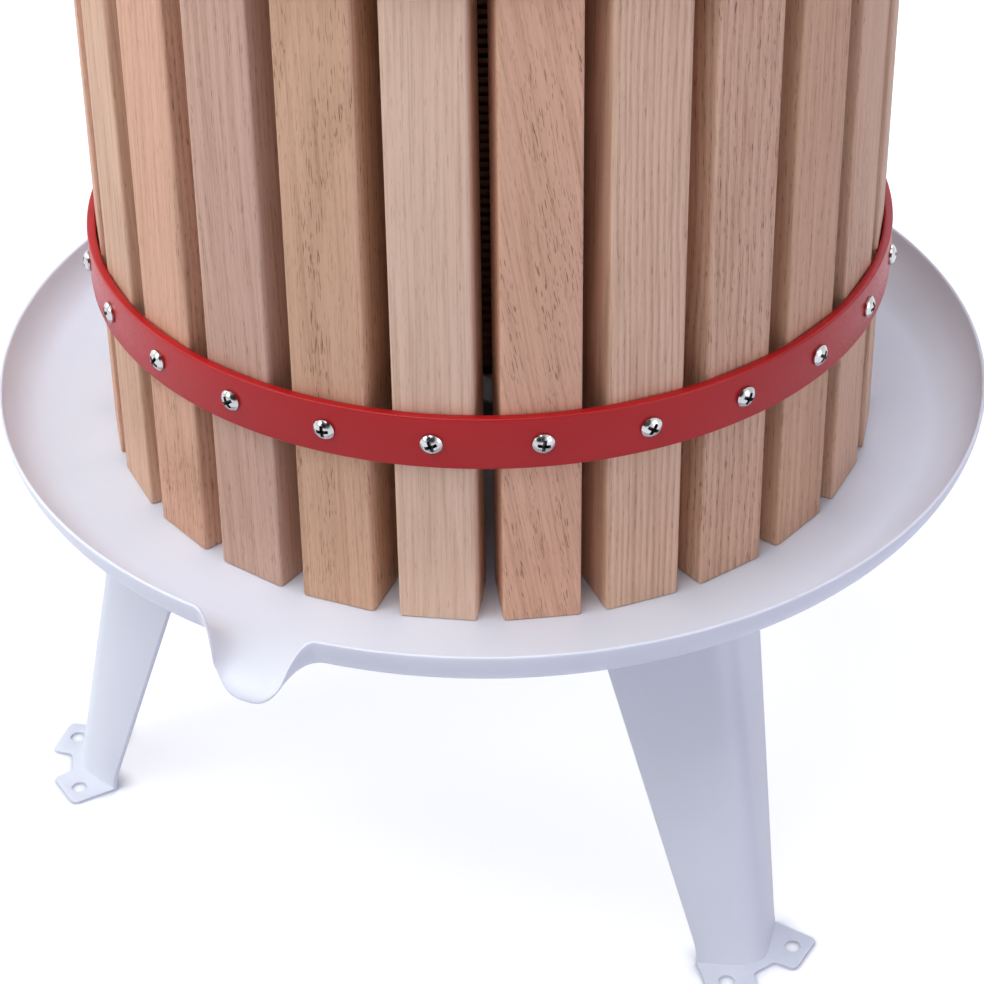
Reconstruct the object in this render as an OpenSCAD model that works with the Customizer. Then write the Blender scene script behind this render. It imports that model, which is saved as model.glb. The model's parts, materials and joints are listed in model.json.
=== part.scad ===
// Basket fruit press: oak slat basket in two steel hoops, standing in a pressed steel pan
// on three folded legs, with a fixed centre spindle and a screwed-down press head.
// Millimetres. Origin on the spindle's axis at floor level, +Z up, spout towards -Y.

/* [Basket] */
// Radius of the basket to the middle of a slat's outer face
basket_r = 151; // [144:1:190]
// Number of slats round the basket
slat_count = 25; // [20:1:26]
// Width of a slat
slat_w = 28.6; // [20:0.1:30]
// Thickness of a slat
slat_t = 26; // [14:0.5:28]
// Length of a slat
slat_len = 345; // [300:5:400]
// Radius of a slat's long edges
slat_edge_r = 1.2; // [0.5:0.1:4]
// Turn of the first slat round the basket, in degrees
basket_turn = -59.1; // [-180:0.1:180]
// Gap under the basket where it stands in the pan
basket_seat_gap = 0.2; // [0.1:0.1:0.5]

/* [Hoops] */
// Height of the flat bar that a hoop is rolled from
hoop_w = 21; // [14:1:30]
// Thickness of the hoop's bar
hoop_t = 3.5; // [2:0.5:5]
// Distance from a slat's end to the middle of the nearer hoop
hoop_from_end = 80; // [30:1:110]
// Clearance between the slats' corners and the hoop
hoop_clear = 0.1; // [0.05:0.05:0.5]
// Radius of a hoop screw's shank
screw_r = 2; // [1.5:0.1:2.5]
// Radius of a hoop screw's pan head
screw_head_r = 4; // [3:0.1:5]
// Height of a hoop screw's pan head
screw_head_h = 2.6; // [1.5:0.1:3.5]
// Depth of a hoop screw below its head
screw_len = 14; // [8:0.5:16]
// Radial clearance of a screw in its pilot hole and in the hoop
screw_clear = 0.05; // [0.02:0.01:0.2]

/* [Pan] */
// Height of the pan's floor above the ground
pan_floor_z = 176; // [140:1:240]
// Thickness of the pan's sheet
pan_sheet = 1.6; // [1:0.1:3]
// Gap from the basket to the foot of the pan's curved wall
pan_floor_margin = 24; // [16:0.5:36]
// Radial width of the pan's curved wall
pan_wall_w = 19.7; // [14:0.1:36]
// Depth of the pan
pan_depth = 18; // [12:0.5:30]
// Slope of the pan's wall at its rim, in degrees
pan_rim_slope = 85; // [60:1:88]

/* [Spout] */
// How far the spout's lip reaches past the pan's rim
spout_reach = 9.6; // [6:0.1:24]
// Width of the spout where the rim starts to fall
spout_mouth_w = 49; // [40:1:64]
// Width of the rounded shoulder at each side of the spout
spout_shoulder_w = 10; // [5:0.5:15]
// Drop of the spout's lip below the pan's floor
spout_drop = 9; // [2:0.5:14]
// Turn of the spout from the middle between the front legs, in degrees
spout_turn = -1.6; // [-10:0.1:10]

/* [Legs] */
// Angle between the two front legs, in degrees
leg_front_angle = 117.8; // [100:0.1:130]
// Distance of a leg's bend line in from the foot of the pan's wall, under the pan
leg_head_in = 23.5; // [15:0.5:28]
// How far a leg's bend line leans out from the pan to the floor
leg_spread = 33.5; // [20:0.5:60]
// Half of the angle between a leg's two wings, in degrees
leg_half_angle = 50; // [45:1:60]
// Outer radius of a leg's bend
leg_bend_r = 12; // [6:0.5:16]
// Thickness of a leg's sheet
leg_sheet = 1.2; // [1:0.1:4]
// Width across a leg's straight edges, carried down to the floor
leg_foot_w = 37; // [30:1:50]
// Width across a leg's wings under the pan
leg_head_w = 84; // [70:1:100]

/* [Feet] */
// Height at which a leg's edges start to curve out to the foot
foot_flare_h = 10; // [5:0.5:20]
// How far a leg's edges curve out at the foot
foot_flare = 1.5; // [0.5:0.1:4]
// Distance of a foot's holes beyond the leg's bend line
foot_hole_out = -2.8; // [-4:0.1:4]
// Distance between the two holes of a foot
foot_hole_gap = 33.6; // [30:0.1:40]
// Radius of a foot's fixing hole
foot_hole_r = 3.25; // [2:0.05:4]
// Width of foot left in front of the bend, inside the notch
foot_strip = 3.6; // [2:0.1:6]
// Width of the notch between a foot's two ears, at its inner end
foot_notch_w = 11; // [7:0.5:15]
// Width of the notch at its mouth
foot_mouth_w = 18.5; // [16:0.5:24]
// How far an ear's tip reaches past its hole
foot_tip = 10.8; // [8:0.1:15]
// How far an ear's outer corner lies past its hole
foot_corner_out = 2.6; // [0:0.1:6]
// How far an ear's outer corner lies to the side of its hole
foot_side = 10.2; // [8:0.1:15]
// Radius of a foot's corners
foot_corner_r = 2.5; // [1:0.1:4]

/* [Leg tops] */
// Width of a leg's top flange inwards of its bolts' axes
head_flange_edge = 12; // [9:0.5:18]
// Width of the inner edge of a leg's top flange
head_flange_w = 60; // [50:1:70]

/* [Leg bolts] */
// Clearance between the heads of a leg's bolts and the slats
leg_bolt_apart = 4; // [2:0.5:8]
// Distance between a leg's two bolts
leg_bolt_gap = 36; // [28:1:42]
// Radius of a leg bolt's shank
leg_bolt_r = 4; // [3:0.5:5]
// Radius of a leg bolt's round head
leg_bolt_head_r = 8; // [6:0.5:9]
// Height of a leg bolt's head
leg_bolt_head_h = 4.4; // [3:0.1:6]
// Width across the corners of a leg bolt's nut
leg_nut_d = 15; // [12:0.5:17]
// Height of a leg bolt's nut
leg_nut_h = 6.5; // [4:0.5:9]
// Radial clearance of bolts and spindle in what they hold
bolt_clear = 0.05; // [0.02:0.01:0.3]

/* [Spindle] */
// Radius of the spindle's thread
spindle_r = 10; // [8:0.5:12]
// Height of the spindle's end above the top of the press nut when the nut is at its highest
spindle_over = 7; // [3:1:30]
// Radius of the stiffening plate under the pan
stiffener_r = 70; // [50:1:85]
// Thickness of the stiffening plate
stiffener_t = 4; // [2:0.5:8]
// Width across the corners of the spindle's hexagon nuts
spindle_nut_d = 36; // [30:1:44]
// Height of the spindle's hexagon nuts
spindle_nut_h = 16; // [10:1:22]
// Radius of the sealing washer on the pan's floor
seal_r = 22; // [20:0.5:30]
// Thickness of the sealing washer
seal_t = 2; // [1:0.5:4]
// Length of spindle below its lower nut
spindle_tail = 8; // [4:1:20]

/* [Press head] */
// Depth of the pressing plate below the basket's top
plate_sunk = 65; // [40:1:90]
// Clearance between the pressing plate and the slats
plate_clear = 4; // [2:0.5:8]
// Thickness of the pressing plate
plate_t = 22; // [14:1:32]
// Gap between the two halves of the pressing plate
plate_split = 0.6; // [0.2:0.1:2]
// Radius of the hole that the halves leave for the spindle
plate_hole_r = 14; // [13:0.5:18]
// Width and height of a pressing block
block_w = 40; // [30:1:46]
// Length of a pressing block
block_len = 200; // [160:5:220]
// Gap between the two blocks of a layer
block_gap = 36; // [30:1:60]
// Radius of the edges of blocks
block_edge_r = 3; // [1:0.5:5]
// Radius of the steel thrust plate
thrust_r = 58; // [45:1:70]
// Thickness of the thrust plate
thrust_t = 6; // [4:0.5:10]
// Travel of the press head above its resting place
head_rise = 100; // [60:1:140]

/* [Press nut and handles] */
// Height of the press nut
nut_h = 56; // [48:1:70]
// Radius of the press nut's foot flange
nut_flange_r = 34; // [30:1:42]
// Height of the press nut's foot flange
nut_flange_h = 9; // [6:0.5:14]
// Radius of the press nut's neck at its top
nut_neck_r = 20; // [18:0.5:26]
// Chamfer of the press nut's edges
nut_chamfer = 3; // [1:0.5:4]
// How much wider the nut's neck is at its root than at its top
nut_taper = 4; // [2:0.5:8]
// Height of the handle bars' axis above the nut's foot
bar_axis_h = 34; // [28:1:40]
// Radius of a handle bar
bar_r = 8; // [6:0.5:10]
// Radius of the nut's side sockets
socket_r = 14; // [12:0.5:17]
// Reach of the side sockets from the spindle's axis
socket_reach = 46; // [40:1:60]
// Wall left between a socket and the spindle's thread
socket_wall = 6; // [4:0.5:10]
// Reach of a handle bar from the spindle's axis
bar_reach = 232; // [180:1:300]
// Width across the corners of a bar's locking nut
jam_nut_d = 28; // [24:1:32]
// Height of a bar's locking nut
jam_nut_h = 8; // [5:0.5:12]
// Length of a hand grip
grip_len = 112; // [90:1:130]
// Radius of a hand grip at its middle
grip_r = 14; // [12:0.5:17]
// Wall at the closed end of a hand grip
grip_end = 5; // [3:0.5:8]

/* [Hidden] */
$fn = 96;
layers = 3;
arc_steps = 6;
// Where the dome of a round screw head starts, in degrees up from its rim
head_side = 15;

// Basket and pan values worked out from the sizes above
slat_pitch = 360 / slat_count;
slat_in_r = basket_r - slat_t;
slat_bottom = pan_floor_z + basket_seat_gap;
basket_top = slat_bottom + slat_len;
slat_corner_r = norm([basket_r - slat_edge_r, slat_w / 2 - slat_edge_r]) + slat_edge_r;
hoop_in_r = slat_corner_r + hoop_clear;
hoop_out_r = hoop_in_r + hoop_t;
hoop_heights = [slat_bottom + hoop_from_end, basket_top - hoop_from_end];
pan_floor_r = basket_r + pan_floor_margin;
pan_rim_r = pan_floor_r + pan_wall_w;
pan_under_z = pan_floor_z - pan_sheet;
wall_steps = 8;

// Leg values
leg_names = ["leg_left", "leg_right", "leg_rear"];
leg_angles = [-90 - leg_front_angle / 2, -90 + leg_front_angle / 2, 90];
leg_top_z = pan_under_z;
leg_head_r = pan_floor_r - leg_head_in;
leg_foot_r = leg_head_r + leg_spread;
leg_splay = atan(leg_spread / leg_top_z);
leg_bend_back = leg_bend_r / sin(leg_half_angle);
foot_hole_at = leg_foot_r + foot_hole_out;
leg_bolt_ring_r = slat_in_r - leg_bolt_apart - leg_bolt_head_r;
leg_bolt_at = sqrt(pow(leg_bolt_ring_r, 2) - pow(leg_bolt_gap / 2, 2));

// Spindle and press head values, from the pan upwards
seat_nut_z = pan_floor_z + seal_t;
base_nut_z = pan_under_z - stiffener_t - spindle_nut_h;
plate_z = basket_top - plate_sunk;
plate_r = slat_in_r - plate_clear;
blocks_z = plate_z + plate_t;
thrust_z = blocks_z + layers * block_w;
nut_z = thrust_z + thrust_t;
bar_z = nut_z + bar_axis_h;
spindle_top = nut_z + nut_h + head_rise + spindle_over;
socket_floor = spindle_r + socket_wall;
grip_from = bar_reach + grip_end - grip_len;

slat_names = [for (i = [1 : slat_count]) str("slat_", i < 10 ? "0" : "", i)];
block_names = [for (layer = [1 : layers], side = ["a", "b"]) str("block_", layer, side)];

white = "whitesmoke";
red = "firebrick";
oak = "burlywood";
steel = "silver";
black = "dimgray";

// Outline of equal circles at convex centres, listed anticlockwise
function rounded(centres, r) = let (n = len(centres)) [
    for (i = [0 : n - 1])
        let (
            before = centres[i] - centres[(i + n - 1) % n],
            after = centres[(i + 1) % n] - centres[i],
            from = atan2(-before[0], before[1]),
            turn = (atan2(-after[0], after[1]) - from + 720) % 360
        )
        for (k = [0 : arc_steps])
            let (a = from + turn * k / arc_steps)
            centres[i] + r * [cos(a), sin(a)]
];

function rounded_box(w, h, r) = rounded(
    [[r - w / 2, r - h / 2], [w / 2 - r, r - h / 2], [w / 2 - r, h / 2 - r], [r - w / 2, h / 2 - r]], r);

// Arc of a radius that takes the place of a corner between two neighbours
function corner_arc(before, corner, after, r) =
    let (
        a = (before - corner) / norm(before - corner),
        b = (after - corner) / norm(after - corner),
        half = acos(a * b) / 2,
        middle = corner + (a + b) / norm(a + b) * r / sin(half),
        first = corner + a * r / tan(half) - middle,
        last = corner + b * r / tan(half) - middle,
        from = atan2(first[1], first[0]),
        turn = (atan2(last[1], last[0]) - from + 540) % 360 - 180
    )
    [for (k = [0 : arc_steps])
        let (t = from + turn * k / arc_steps)
        middle + r * [cos(t), sin(t)]];

// Pan: a profile swept round the axis, opened by the spout

// How far the spout is open at an angle from its middle: 1 in the middle, 0 on the plain rim.
// A blunt tongue, a cubic, runs into a parabola at each shoulder without a kink.
function spout_open(a) =
    let (
        aside = abs(pan_rim_r * sin(a)) / (spout_mouth_w / 2),
        joint = 1 - spout_shoulder_w / (spout_mouth_w / 2),
        fall = 1 / (pow(joint, 3) + 1.5 * pow(joint, 2) * (1 - joint))
    )
    cos(a) < 0 || aside >= 1 ? 0 :
    aside < joint ? 1 - fall * pow(aside, 3) :
    1.5 * fall * pow(joint, 2) * pow(1 - aside, 2) / (1 - joint);

// Point of the pan's inner surface: k steps up the wall, at an angle from the spout
function pan_inner(k, a) =
    let (
        open = spout_open(a),
        slope = pan_rim_slope * k / wall_steps,
        out = sin(slope) / sin(pan_rim_slope),
        up = (1 - cos(slope)) / (1 - cos(pan_rim_slope))
    )
    [
        pan_floor_r + (pan_wall_w + spout_reach * open) * out,
        (pan_depth * (1 - open) - spout_drop * open) * up
    ];

// The same point moved through the sheet to the pan's outer surface
function pan_outer(k, a) =
    let (
        along = k == 0 ? [1, 0] :
            pan_inner(min(k + 1, wall_steps), a) - pan_inner(k - 1, a),
        through = [along[1], -along[0]] / norm(along)
    )
    pan_inner(k, a) + pan_sheet * through;

// Angles round the pan from the spout, close together where the sheet is drawn out
spout_half_angle = asin(spout_mouth_w / 2 / pan_rim_r);
spout_steps = 28;
plain_steps = 68;
pan_angles = concat(
    [for (i = [0 : spout_steps]) spout_half_angle * (2 * i / spout_steps - 1)],
    [for (i = [1 : plain_steps - 1])
        spout_half_angle + (360 - 2 * spout_half_angle) * i / plain_steps]
);

module pan_sheet_metal() {
    rows = 2 * (wall_steps + 1);
    turns = len(pan_angles);
    points = [
        for (a = pan_angles, k = [0 : rows - 1])
            let (p = k <= wall_steps ? pan_inner(k, a) : pan_outer(rows - 1 - k, a))
            [p[0] * sin(a + spout_turn), -p[0] * cos(a + spout_turn), pan_floor_z + p[1]]
    ];
    sides = [
        for (i = [0 : turns - 1], k = [0 : rows - 2])
            let (here = i * rows + k, next = ((i + 1) % turns) * rows + k)
            each [[here, next, next + 1], [here, next + 1, here + 1]]
    ];
    floor_top = [for (i = [turns - 1 : -1 : 0]) i * rows];
    floor_under = [for (i = [0 : turns - 1]) i * rows + rows - 1];
    polyhedron(points, concat(sides, [floor_top, floor_under]), convexity = 6);
}

module at_leg_bolts() {
    for (a = leg_angles, side = [-1, 1])
        rotate(a) translate([leg_bolt_at, side * leg_bolt_gap / 2, 0]) children();
}

module pan() {
    color(white) difference() {
        pan_sheet_metal();
        translate([0, 0, pan_under_z - 1]) cylinder(r = spindle_r + bolt_clear, h = pan_sheet + 2);
        at_leg_bolts() translate([0, 0, pan_under_z - 1])
            cylinder(r = leg_bolt_r + bolt_clear, h = pan_sheet + 2);
    }
}

// Legs: a rounded V of sheet that leans in and widens upwards, with a notched foot and a top flange

// One side of the V's section, from the bend out along the wing, at a radius about the bend
function wing_side(r, aside) = concat(
    [for (k = [0 : arc_steps])
        let (a = (90 - leg_half_angle) * k / arc_steps)
        [r * cos(a) - leg_bend_back, r * sin(a)]],
    [[r / sin(leg_half_angle) - leg_bend_back - aside / tan(leg_half_angle), aside]]
);

// Both sides of the V, from one wing's edge round the bend to the other's
function wing_sides(r, aside) =
    let (side = wing_side(r, aside))
    concat([for (i = [len(side) - 1 : -1 : 1]) [side[i][0], -side[i][1]]], side);

function reversed(path) = [for (i = [len(path) - 1 : -1 : 0]) path[i]];

// Half of the width across a leg's wings at a height
function leg_half_w(z) =
    leg_foot_w / 2 + (leg_head_w - leg_foot_w) / 2 * z / leg_top_z +
    foot_flare * pow(max(0, 1 - z / foot_flare_h), 2);

module leg_wings() {
    edge = concat(
        [for (k = [0 : arc_steps]) let (z = foot_flare_h * k / arc_steps) [leg_half_w(z), z]],
        [[leg_head_w / 2, leg_top_z]]
    );
    intersection() {
        translate([leg_foot_r, 0, 0]) rotate([0, -leg_splay, 0])
            translate([0, 0, -leg_head_w]) linear_extrude(leg_top_z + 2 * leg_head_w) polygon(concat(
                wing_sides(leg_bend_r, leg_head_w),
                reversed(wing_sides(leg_bend_r - leg_sheet, leg_head_w))
            ));
        rotate([90, 0, 90]) linear_extrude(leg_foot_r)
            polygon(concat(edge, [for (p = reversed(edge)) [-p[0], p[1]]]));
    }
}

// Level line along the middle of a leg's sheet, where its bend line is at a radius
function wing_line(bend_at, aside) = [
    for (p = wing_sides(leg_bend_r - leg_sheet / 2, aside)) [bend_at + p[0] / cos(leg_splay), p[1]]
];

module foot() {
    bend_face = leg_foot_r + (leg_bend_r - leg_bend_back) / cos(leg_splay);
    inner = wing_line(leg_foot_r, leg_half_w(0));
    half = [
        [bend_face + foot_strip, foot_notch_w / 2],
        [foot_hole_at + foot_tip, foot_mouth_w / 2],
        [foot_hole_at + foot_corner_out, foot_hole_gap / 2 + foot_side]
    ];
    corners = concat(
        [inner[0]], [for (p = reversed(half)) [p[0], -p[1]]], half, [inner[len(inner) - 1]]
    );
    outer = [
        for (i = [1 : len(corners) - 2])
            each corner_arc(corners[i - 1], corners[i], corners[i + 1], foot_corner_r)
    ];
    linear_extrude(leg_sheet) polygon(concat(outer, reversed(inner)));
}

module head_flange() {
    inner_at = leg_bolt_at - head_flange_edge;
    outer = wing_line(leg_head_r, leg_head_w / 2 - leg_bend_r / 2);
    translate([0, 0, leg_top_z - leg_sheet]) linear_extrude(leg_sheet) polygon(concat(
        [[inner_at, -head_flange_w / 2]], outer, [[inner_at, head_flange_w / 2]]
    ));
}

module leg(angle) {
    color(white) rotate(angle) difference() {
        union() {
            leg_wings();
            head_flange();
            foot();
        }
        for (side = [-1, 1]) {
            translate([foot_hole_at, side * foot_hole_gap / 2, -1])
                cylinder(r = foot_hole_r, h = leg_sheet + 2);
            translate([leg_bolt_at, side * leg_bolt_gap / 2, leg_top_z - leg_sheet - 1])
                cylinder(r = leg_bolt_r + bolt_clear, h = leg_sheet + 2);
        }
    }
}

module leg_bolts() {
    shank = leg_bolt_head_h + pan_sheet + leg_sheet + leg_nut_h + leg_bolt_r / 2;
    color(steel) at_leg_bolts() translate([0, 0, pan_floor_z]) {
        translate([0, 0, leg_bolt_head_h - shank]) cylinder(r = leg_bolt_r, h = shank);
        rotate_extrude() polygon([
            [0, 0], [leg_bolt_head_r, 0],
            for (k = [0 : arc_steps])
                let (a = head_side + (90 - head_side) * k / arc_steps)
                [leg_bolt_head_r * cos(a) / cos(head_side), leg_bolt_head_h * sin(a)]
        ]);
    }
}

module hex_nut(corners_d, h, bore_r) {
    difference() {
        cylinder(d = corners_d, h = h, $fn = 6);
        translate([0, 0, -1]) cylinder(r = bore_r, h = h + 2);
    }
}

module leg_nuts() {
    color(steel) at_leg_bolts() translate([0, 0, leg_top_z - leg_sheet - leg_nut_h])
        hex_nut(leg_nut_d, leg_nut_h, leg_bolt_r + bolt_clear);
}

// Spindle and what clamps it through the pan

module disc_washer(r, t, bore_r) {
    difference() {
        cylinder(r = r, h = t);
        translate([0, 0, -1]) cylinder(r = bore_r, h = t + 2);
    }
}

module stiffener_plate() {
    color(white) translate([0, 0, pan_under_z - stiffener_t])
        disc_washer(stiffener_r, stiffener_t, spindle_r + bolt_clear);
}

module pan_seal() {
    color(black) translate([0, 0, pan_floor_z]) disc_washer(seal_r, seal_t, spindle_r + bolt_clear);
}

module spindle() {
    chamfer = spindle_r / 5;
    bottom = base_nut_z - spindle_tail;
    color(steel) translate([0, 0, bottom]) rotate_extrude() polygon([
        [0, 0], [spindle_r - chamfer, 0], [spindle_r, chamfer],
        [spindle_r, spindle_top - bottom - chamfer],
        [spindle_r - chamfer, spindle_top - bottom], [0, spindle_top - bottom]
    ]);
}

module spindle_nut(z) {
    color(steel) translate([0, 0, z]) hex_nut(spindle_nut_d, spindle_nut_h, spindle_r + bolt_clear);
}

// Basket

module slat(i) {
    shape = rounded_box(slat_t, slat_w, slat_edge_r);
    color(oak) rotate(basket_turn + (i - 1) * slat_pitch) difference() {
        translate([slat_in_r + slat_t / 2, 0, slat_bottom]) linear_extrude(slat_len) polygon(shape);
        for (z = hoop_heights)
            translate([hoop_out_r - screw_len - 1, 0, z]) rotate([0, 90, 0])
                cylinder(r = screw_r + screw_clear, h = screw_len + 2);
    }
}

module at_screws(z) {
    for (i = [0 : slat_count - 1])
        rotate(basket_turn + i * slat_pitch) translate([hoop_out_r, 0, z]) rotate([0, 90, 0]) children();
}

module hoop(z) {
    color(red) difference() {
        translate([0, 0, z - hoop_w / 2]) difference() {
            cylinder(r = hoop_out_r, h = hoop_w, $fn = 180);
            translate([0, 0, -1]) cylinder(r = hoop_in_r, h = hoop_w + 2, $fn = 180);
        }
        at_screws(z) translate([0, 0, -hoop_t - 2])
            cylinder(r = screw_r + screw_clear, h = hoop_t + 4, $fn = 32);
    }
}

module hoop_screws(z) {
    color(steel) at_screws(z) {
        translate([0, 0, -screw_len]) cylinder(r = screw_r, h = screw_len + screw_head_h / 2, $fn = 32);
        rotate_extrude($fn = 32) polygon([
            [0, 0], [screw_head_r, 0],
            for (k = [0 : arc_steps])
                let (a = head_side + (90 - head_side) * k / arc_steps)
                [screw_head_r * cos(a) / cos(head_side), screw_head_h * sin(a)]
        ]);
    }
}

// Press head

module press_plate(side) {
    color(oak) translate([0, 0, plate_z]) difference() {
        cylinder(r = plate_r, h = plate_t, $fn = 180);
        translate([0, 0, -1]) cylinder(r = plate_hole_r, h = plate_t + 2);
        translate([side > 0 ? plate_split / 2 - 2 * plate_r : -plate_split / 2, -plate_r - 1, -1])
            cube([2 * plate_r, 2 * plate_r + 2, plate_t + 2]);
    }
}

// A layer's blocks lie across the layer below, one on each side of the spindle
module block(layer, side) {
    across = side * (block_gap + block_w) / 2;
    color(oak) translate([0, 0, blocks_z + (layer - 0.5) * block_w])
        rotate(layer % 2 == 1 ? 0 : 90) translate([-block_len / 2, across, 0])
            rotate([90, 0, 90]) linear_extrude(block_len)
                polygon(rounded_box(block_w, block_w, block_edge_r));
}

module thrust_plate() {
    color(steel) translate([0, 0, thrust_z])
        disc_washer(thrust_r, thrust_t, plate_hole_r);
}

// Press nut, with a side socket for each handle bar
module press_nut() {
    color(red) translate([0, 0, nut_z]) difference() {
        union() {
            rotate_extrude() polygon([
                [0, 0], [nut_flange_r, 0], [nut_flange_r, nut_flange_h - nut_chamfer],
                [nut_flange_r - nut_chamfer, nut_flange_h],
                [nut_neck_r + nut_taper, nut_flange_h + nut_taper], [nut_neck_r, nut_h - nut_chamfer],
                [nut_neck_r - nut_chamfer, nut_h], [0, nut_h]
            ]);
            translate([-socket_reach, 0, bar_axis_h]) rotate([0, 90, 0])
                cylinder(r = socket_r, h = 2 * socket_reach);
        }
        translate([0, 0, -1]) cylinder(r = spindle_r + bolt_clear, h = nut_h + 2);
        for (side = [0, 1]) mirror([side, 0, 0])
            translate([socket_floor, 0, bar_axis_h]) rotate([0, 90, 0])
                cylinder(r = bar_r + bolt_clear, h = socket_reach);
    }
}

module bar(side) {
    chamfer = bar_r / 6;
    length = bar_reach - socket_floor;
    color(steel) mirror([side > 0 ? 0 : 1, 0, 0]) translate([socket_floor, 0, bar_z]) rotate([0, 90, 0])
        rotate_extrude() polygon([
            [0, 0], [bar_r - chamfer, 0], [bar_r, chamfer], [bar_r, length - chamfer],
            [bar_r - chamfer, length], [0, length]
        ]);
}

module bar_jam_nuts() {
    color(steel) for (side = [0, 1]) mirror([side, 0, 0])
        translate([socket_reach, 0, bar_z]) rotate([0, 90, 0])
            hex_nut(jam_nut_d, jam_nut_h, bar_r + bolt_clear);
}

module grip(side) {
    bead = grip_r / 10;
    color(black) mirror([side > 0 ? 0 : 1, 0, 0]) translate([grip_from, 0, bar_z]) rotate([0, 90, 0])
        difference() {
            rotate_extrude() polygon([
                [0, 0], [grip_r - bead, 0], [grip_r, bead], [grip_r, 4 * bead], [grip_r - bead, 6 * bead],
                for (k = [0 : 2 * arc_steps])
                    let (s = k / (2 * arc_steps))
                    [grip_r - bead + bead * sin(180 * s), 6 * bead + (grip_len - grip_r - 6 * bead) * s],
                for (k = [1 : arc_steps])
                    let (a = 90 * k / arc_steps)
                    [(grip_r - bead) * cos(a), grip_len - grip_r + grip_r * sin(a)]
            ]);
            translate([0, 0, -1]) cylinder(r = bar_r + bolt_clear, h = grip_len - grip_end + 1);
        }
}

pan();
for (i = [0 : 2]) leg(leg_angles[i]);
leg_bolts();
leg_nuts();
stiffener_plate();
pan_seal();
spindle();
spindle_nut(seat_nut_z);  // spindle_seat_nut
spindle_nut(base_nut_z);  // spindle_base_nut
for (i = [1 : slat_count]) slat(i);
hoop(hoop_heights[0]);  // lower_hoop
hoop(hoop_heights[1]);  // upper_hoop
hoop_screws(hoop_heights[0]);  // lower_hoop_screws
hoop_screws(hoop_heights[1]);  // upper_hoop_screws
press_plate(-1);  // press_plate_left
press_plate(1);  // press_plate_right
for (layer = [1 : layers], side = [0, 1])
    block(layer, 2 * side - 1);
thrust_plate();
press_nut();
bar(-1);  // bar_left
bar(1);  // bar_right
bar_jam_nuts();
grip(-1);  // grip_left
grip(1);  // grip_right
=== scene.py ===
"""Looks of a basket fruit press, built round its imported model. Metres, +Z up, spout towards -Y."""

import json
import math
import random

import bmesh
import bpy
import numpy as np
from mathutils import Matrix, Vector

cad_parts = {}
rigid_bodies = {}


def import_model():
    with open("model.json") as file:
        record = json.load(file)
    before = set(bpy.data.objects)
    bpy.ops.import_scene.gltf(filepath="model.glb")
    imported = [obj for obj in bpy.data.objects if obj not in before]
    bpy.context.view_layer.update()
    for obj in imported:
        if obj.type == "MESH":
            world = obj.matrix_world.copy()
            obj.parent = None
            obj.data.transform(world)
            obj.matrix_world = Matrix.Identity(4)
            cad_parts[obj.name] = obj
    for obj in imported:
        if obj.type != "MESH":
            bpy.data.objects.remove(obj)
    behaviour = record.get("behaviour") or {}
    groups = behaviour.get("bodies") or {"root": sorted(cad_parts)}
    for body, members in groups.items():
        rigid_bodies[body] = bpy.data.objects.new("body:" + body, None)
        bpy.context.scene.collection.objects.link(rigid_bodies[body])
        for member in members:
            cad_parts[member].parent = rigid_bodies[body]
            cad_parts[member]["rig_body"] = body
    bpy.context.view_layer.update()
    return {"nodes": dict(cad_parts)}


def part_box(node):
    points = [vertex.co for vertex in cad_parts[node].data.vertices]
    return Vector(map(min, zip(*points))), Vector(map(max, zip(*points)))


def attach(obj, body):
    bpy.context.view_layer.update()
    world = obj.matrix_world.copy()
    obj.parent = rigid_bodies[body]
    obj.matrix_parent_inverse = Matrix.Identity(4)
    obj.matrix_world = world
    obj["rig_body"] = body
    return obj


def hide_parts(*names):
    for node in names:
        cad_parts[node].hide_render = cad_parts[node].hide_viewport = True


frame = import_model()
mm = 0.001
full_turn = 2 * math.pi
quarter_turn = math.pi / 2


# Places read from the frame

def facing(node):
    """Angle about the spindle at which a node stands."""
    low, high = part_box(node)
    middle = (low + high) / 2
    return math.atan2(middle.y, middle.x)


def turned_points(node, angle):
    """The node's vertices in axes turned by an angle about Z, one row each."""
    vertices = frame["nodes"][node].data.vertices
    flat = np.empty(3 * len(vertices))
    vertices.foreach_get("co", flat)
    turn = np.array(Matrix.Rotation(-angle, 3, "Z"))
    return flat.reshape(-1, 3) @ turn.T


slat_names = sorted(name for name in frame["nodes"] if name.startswith("slat_"))
block_names = sorted(name for name in frame["nodes"] if name.startswith("block_"))
leg_names = ["leg_left", "leg_rear", "leg_right"]


# Shader building

def cubed(scale):
    return (scale, scale, scale)


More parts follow.
